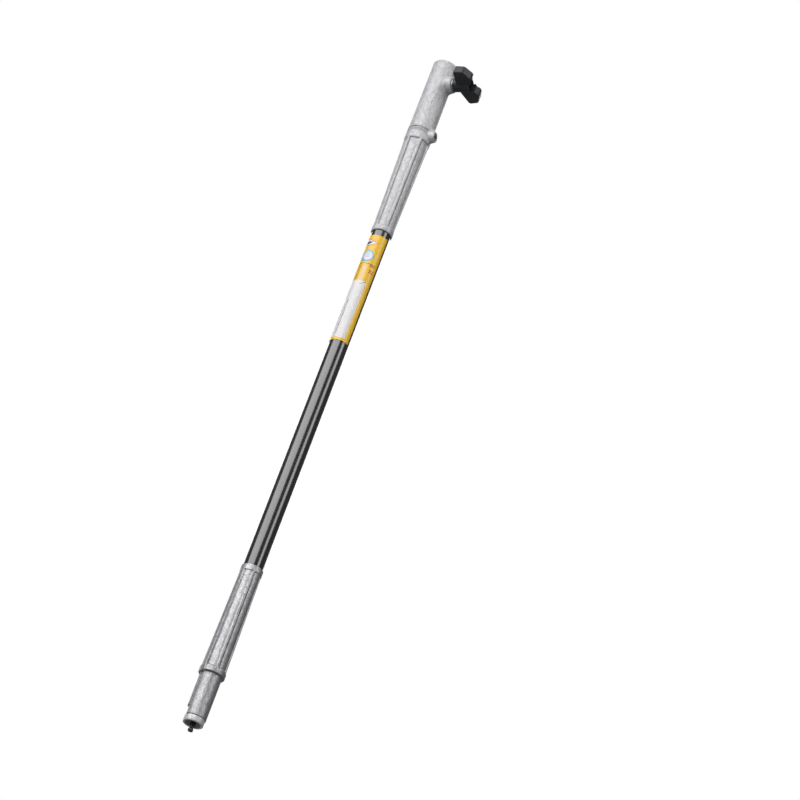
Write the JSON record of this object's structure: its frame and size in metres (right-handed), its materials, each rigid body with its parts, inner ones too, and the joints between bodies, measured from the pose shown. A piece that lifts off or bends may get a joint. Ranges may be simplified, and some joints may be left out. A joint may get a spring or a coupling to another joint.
{
  "type": "pole pruner extension shaft",
  "caption": "Rigid extension pole for a shaft-driven pole pruner: cast spigot below, black tube round a drive shaft, cast clamp socket with a wing knob above.",
  "frame": {"origin": "centre of the lower shoulder, where the spigot meets its collar", "axes": "+Z along the pole from the spigot to the socket; +X along the clamp screw, out through the wing knob"},
  "size_m": [0.0781, 0.0666, 1.08],
  "materials": {
    "cast_aluminium": "rough as-cast, bead-blasted grey with dark mottling",
    "machined_ring": "smooth, light, satin",
    "black_tube": "glossy black powder coat",
    "printed_label": "yellow printed film with a white panel, satin",
    "drive_steel": "dark, lightly oiled steel",
    "bearing_steel": "ground steel",
    "black_plastic": "moulded glass-filled black plastic, satin",
    "brass": "machined",
    "zinc_steel": "bright zinc plated",
    "white_plastic": "moulded natural nylon",
    "seal_rubber": "matt black"
  },
  "bodies": {
    "pole": {"outer_tube": "black_tube", "tube_label": "printed_label", "lower_casting": "cast_aluminium", "spigot_end_ring": "machined_ring", "upper_casting": "cast_aluminium", "lower_bearing_outer_race": "bearing_steel", "upper_bearing_outer_race": "bearing_steel", "lower_housing_ring": "drive_steel", "upper_housing_ring": "drive_steel", "lower_shaft_seal": "seal_rubber", "shaft_bush_1": "white_plastic", "shaft_bush_2": "white_plastic", "shaft_bush_3": "white_plastic", "shaft_bush_4": "white_plastic", "threaded_insert": "brass", "upper_fixing_screw": "zinc_steel", "lower_fixing_screw": "zinc_steel"},
    "drive": {"drive_shaft": "drive_steel", "coupling_sleeve": "drive_steel", "coupling_pin": "bearing_steel", "lower_bearing_inner_race": "bearing_steel", "upper_bearing_inner_race": "bearing_steel", "lower_shaft_ring": "drive_steel", "upper_shaft_ring": "drive_steel"},
    "lower_cage": {"lower_bearing_ball_cage": "bearing_steel"},
    "upper_cage": {"upper_bearing_ball_cage": "bearing_steel"},
    "clamp": {"clamp_pad": "bearing_steel"},
    "knob": {"knob_screw": "zinc_steel", "knob_washer": "zinc_steel", "wing_knob": "black_plastic"}
  },
  "joints": [
    {"name": "shaft_spin", "type": "hinge", "parent": "pole", "child": "drive", "pos_m": [0, 0, 0.4], "axis": [0, 0, 1], "continuous": true},
    {"name": "lower_cage_spin", "type": "hinge", "parent": "pole", "child": "lower_cage", "pos_m": [0, 0, -0.046], "axis": [0, 0, 1], "continuous": true},
    {"name": "upper_cage_spin", "type": "hinge", "parent": "pole", "child": "upper_cage", "pos_m": [0, 0, 0.896], "axis": [0, 0, 1], "continuous": true},
    {"name": "clamp_travel", "type": "slide", "parent": "pole", "child": "clamp", "axis": [1, 0, 0], "range_m": [0, 0.0025]},
    {"name": "knob_turn", "type": "hinge", "parent": "clamp", "child": "knob", "pos_m": [0.04, 0, 0.967], "axis": [1, 0, 0], "range_deg": [0, 720]}
  ],
  "couplings": [
    {"joint": "lower_cage_spin", "follows": "shaft_spin", "ratio": 0.36},
    {"joint": "upper_cage_spin", "follows": "shaft_spin", "ratio": 0.36},
    {"joint": "clamp_travel", "follows": "knob_turn", "m_per_rad": 0.00019894}
  ]
}
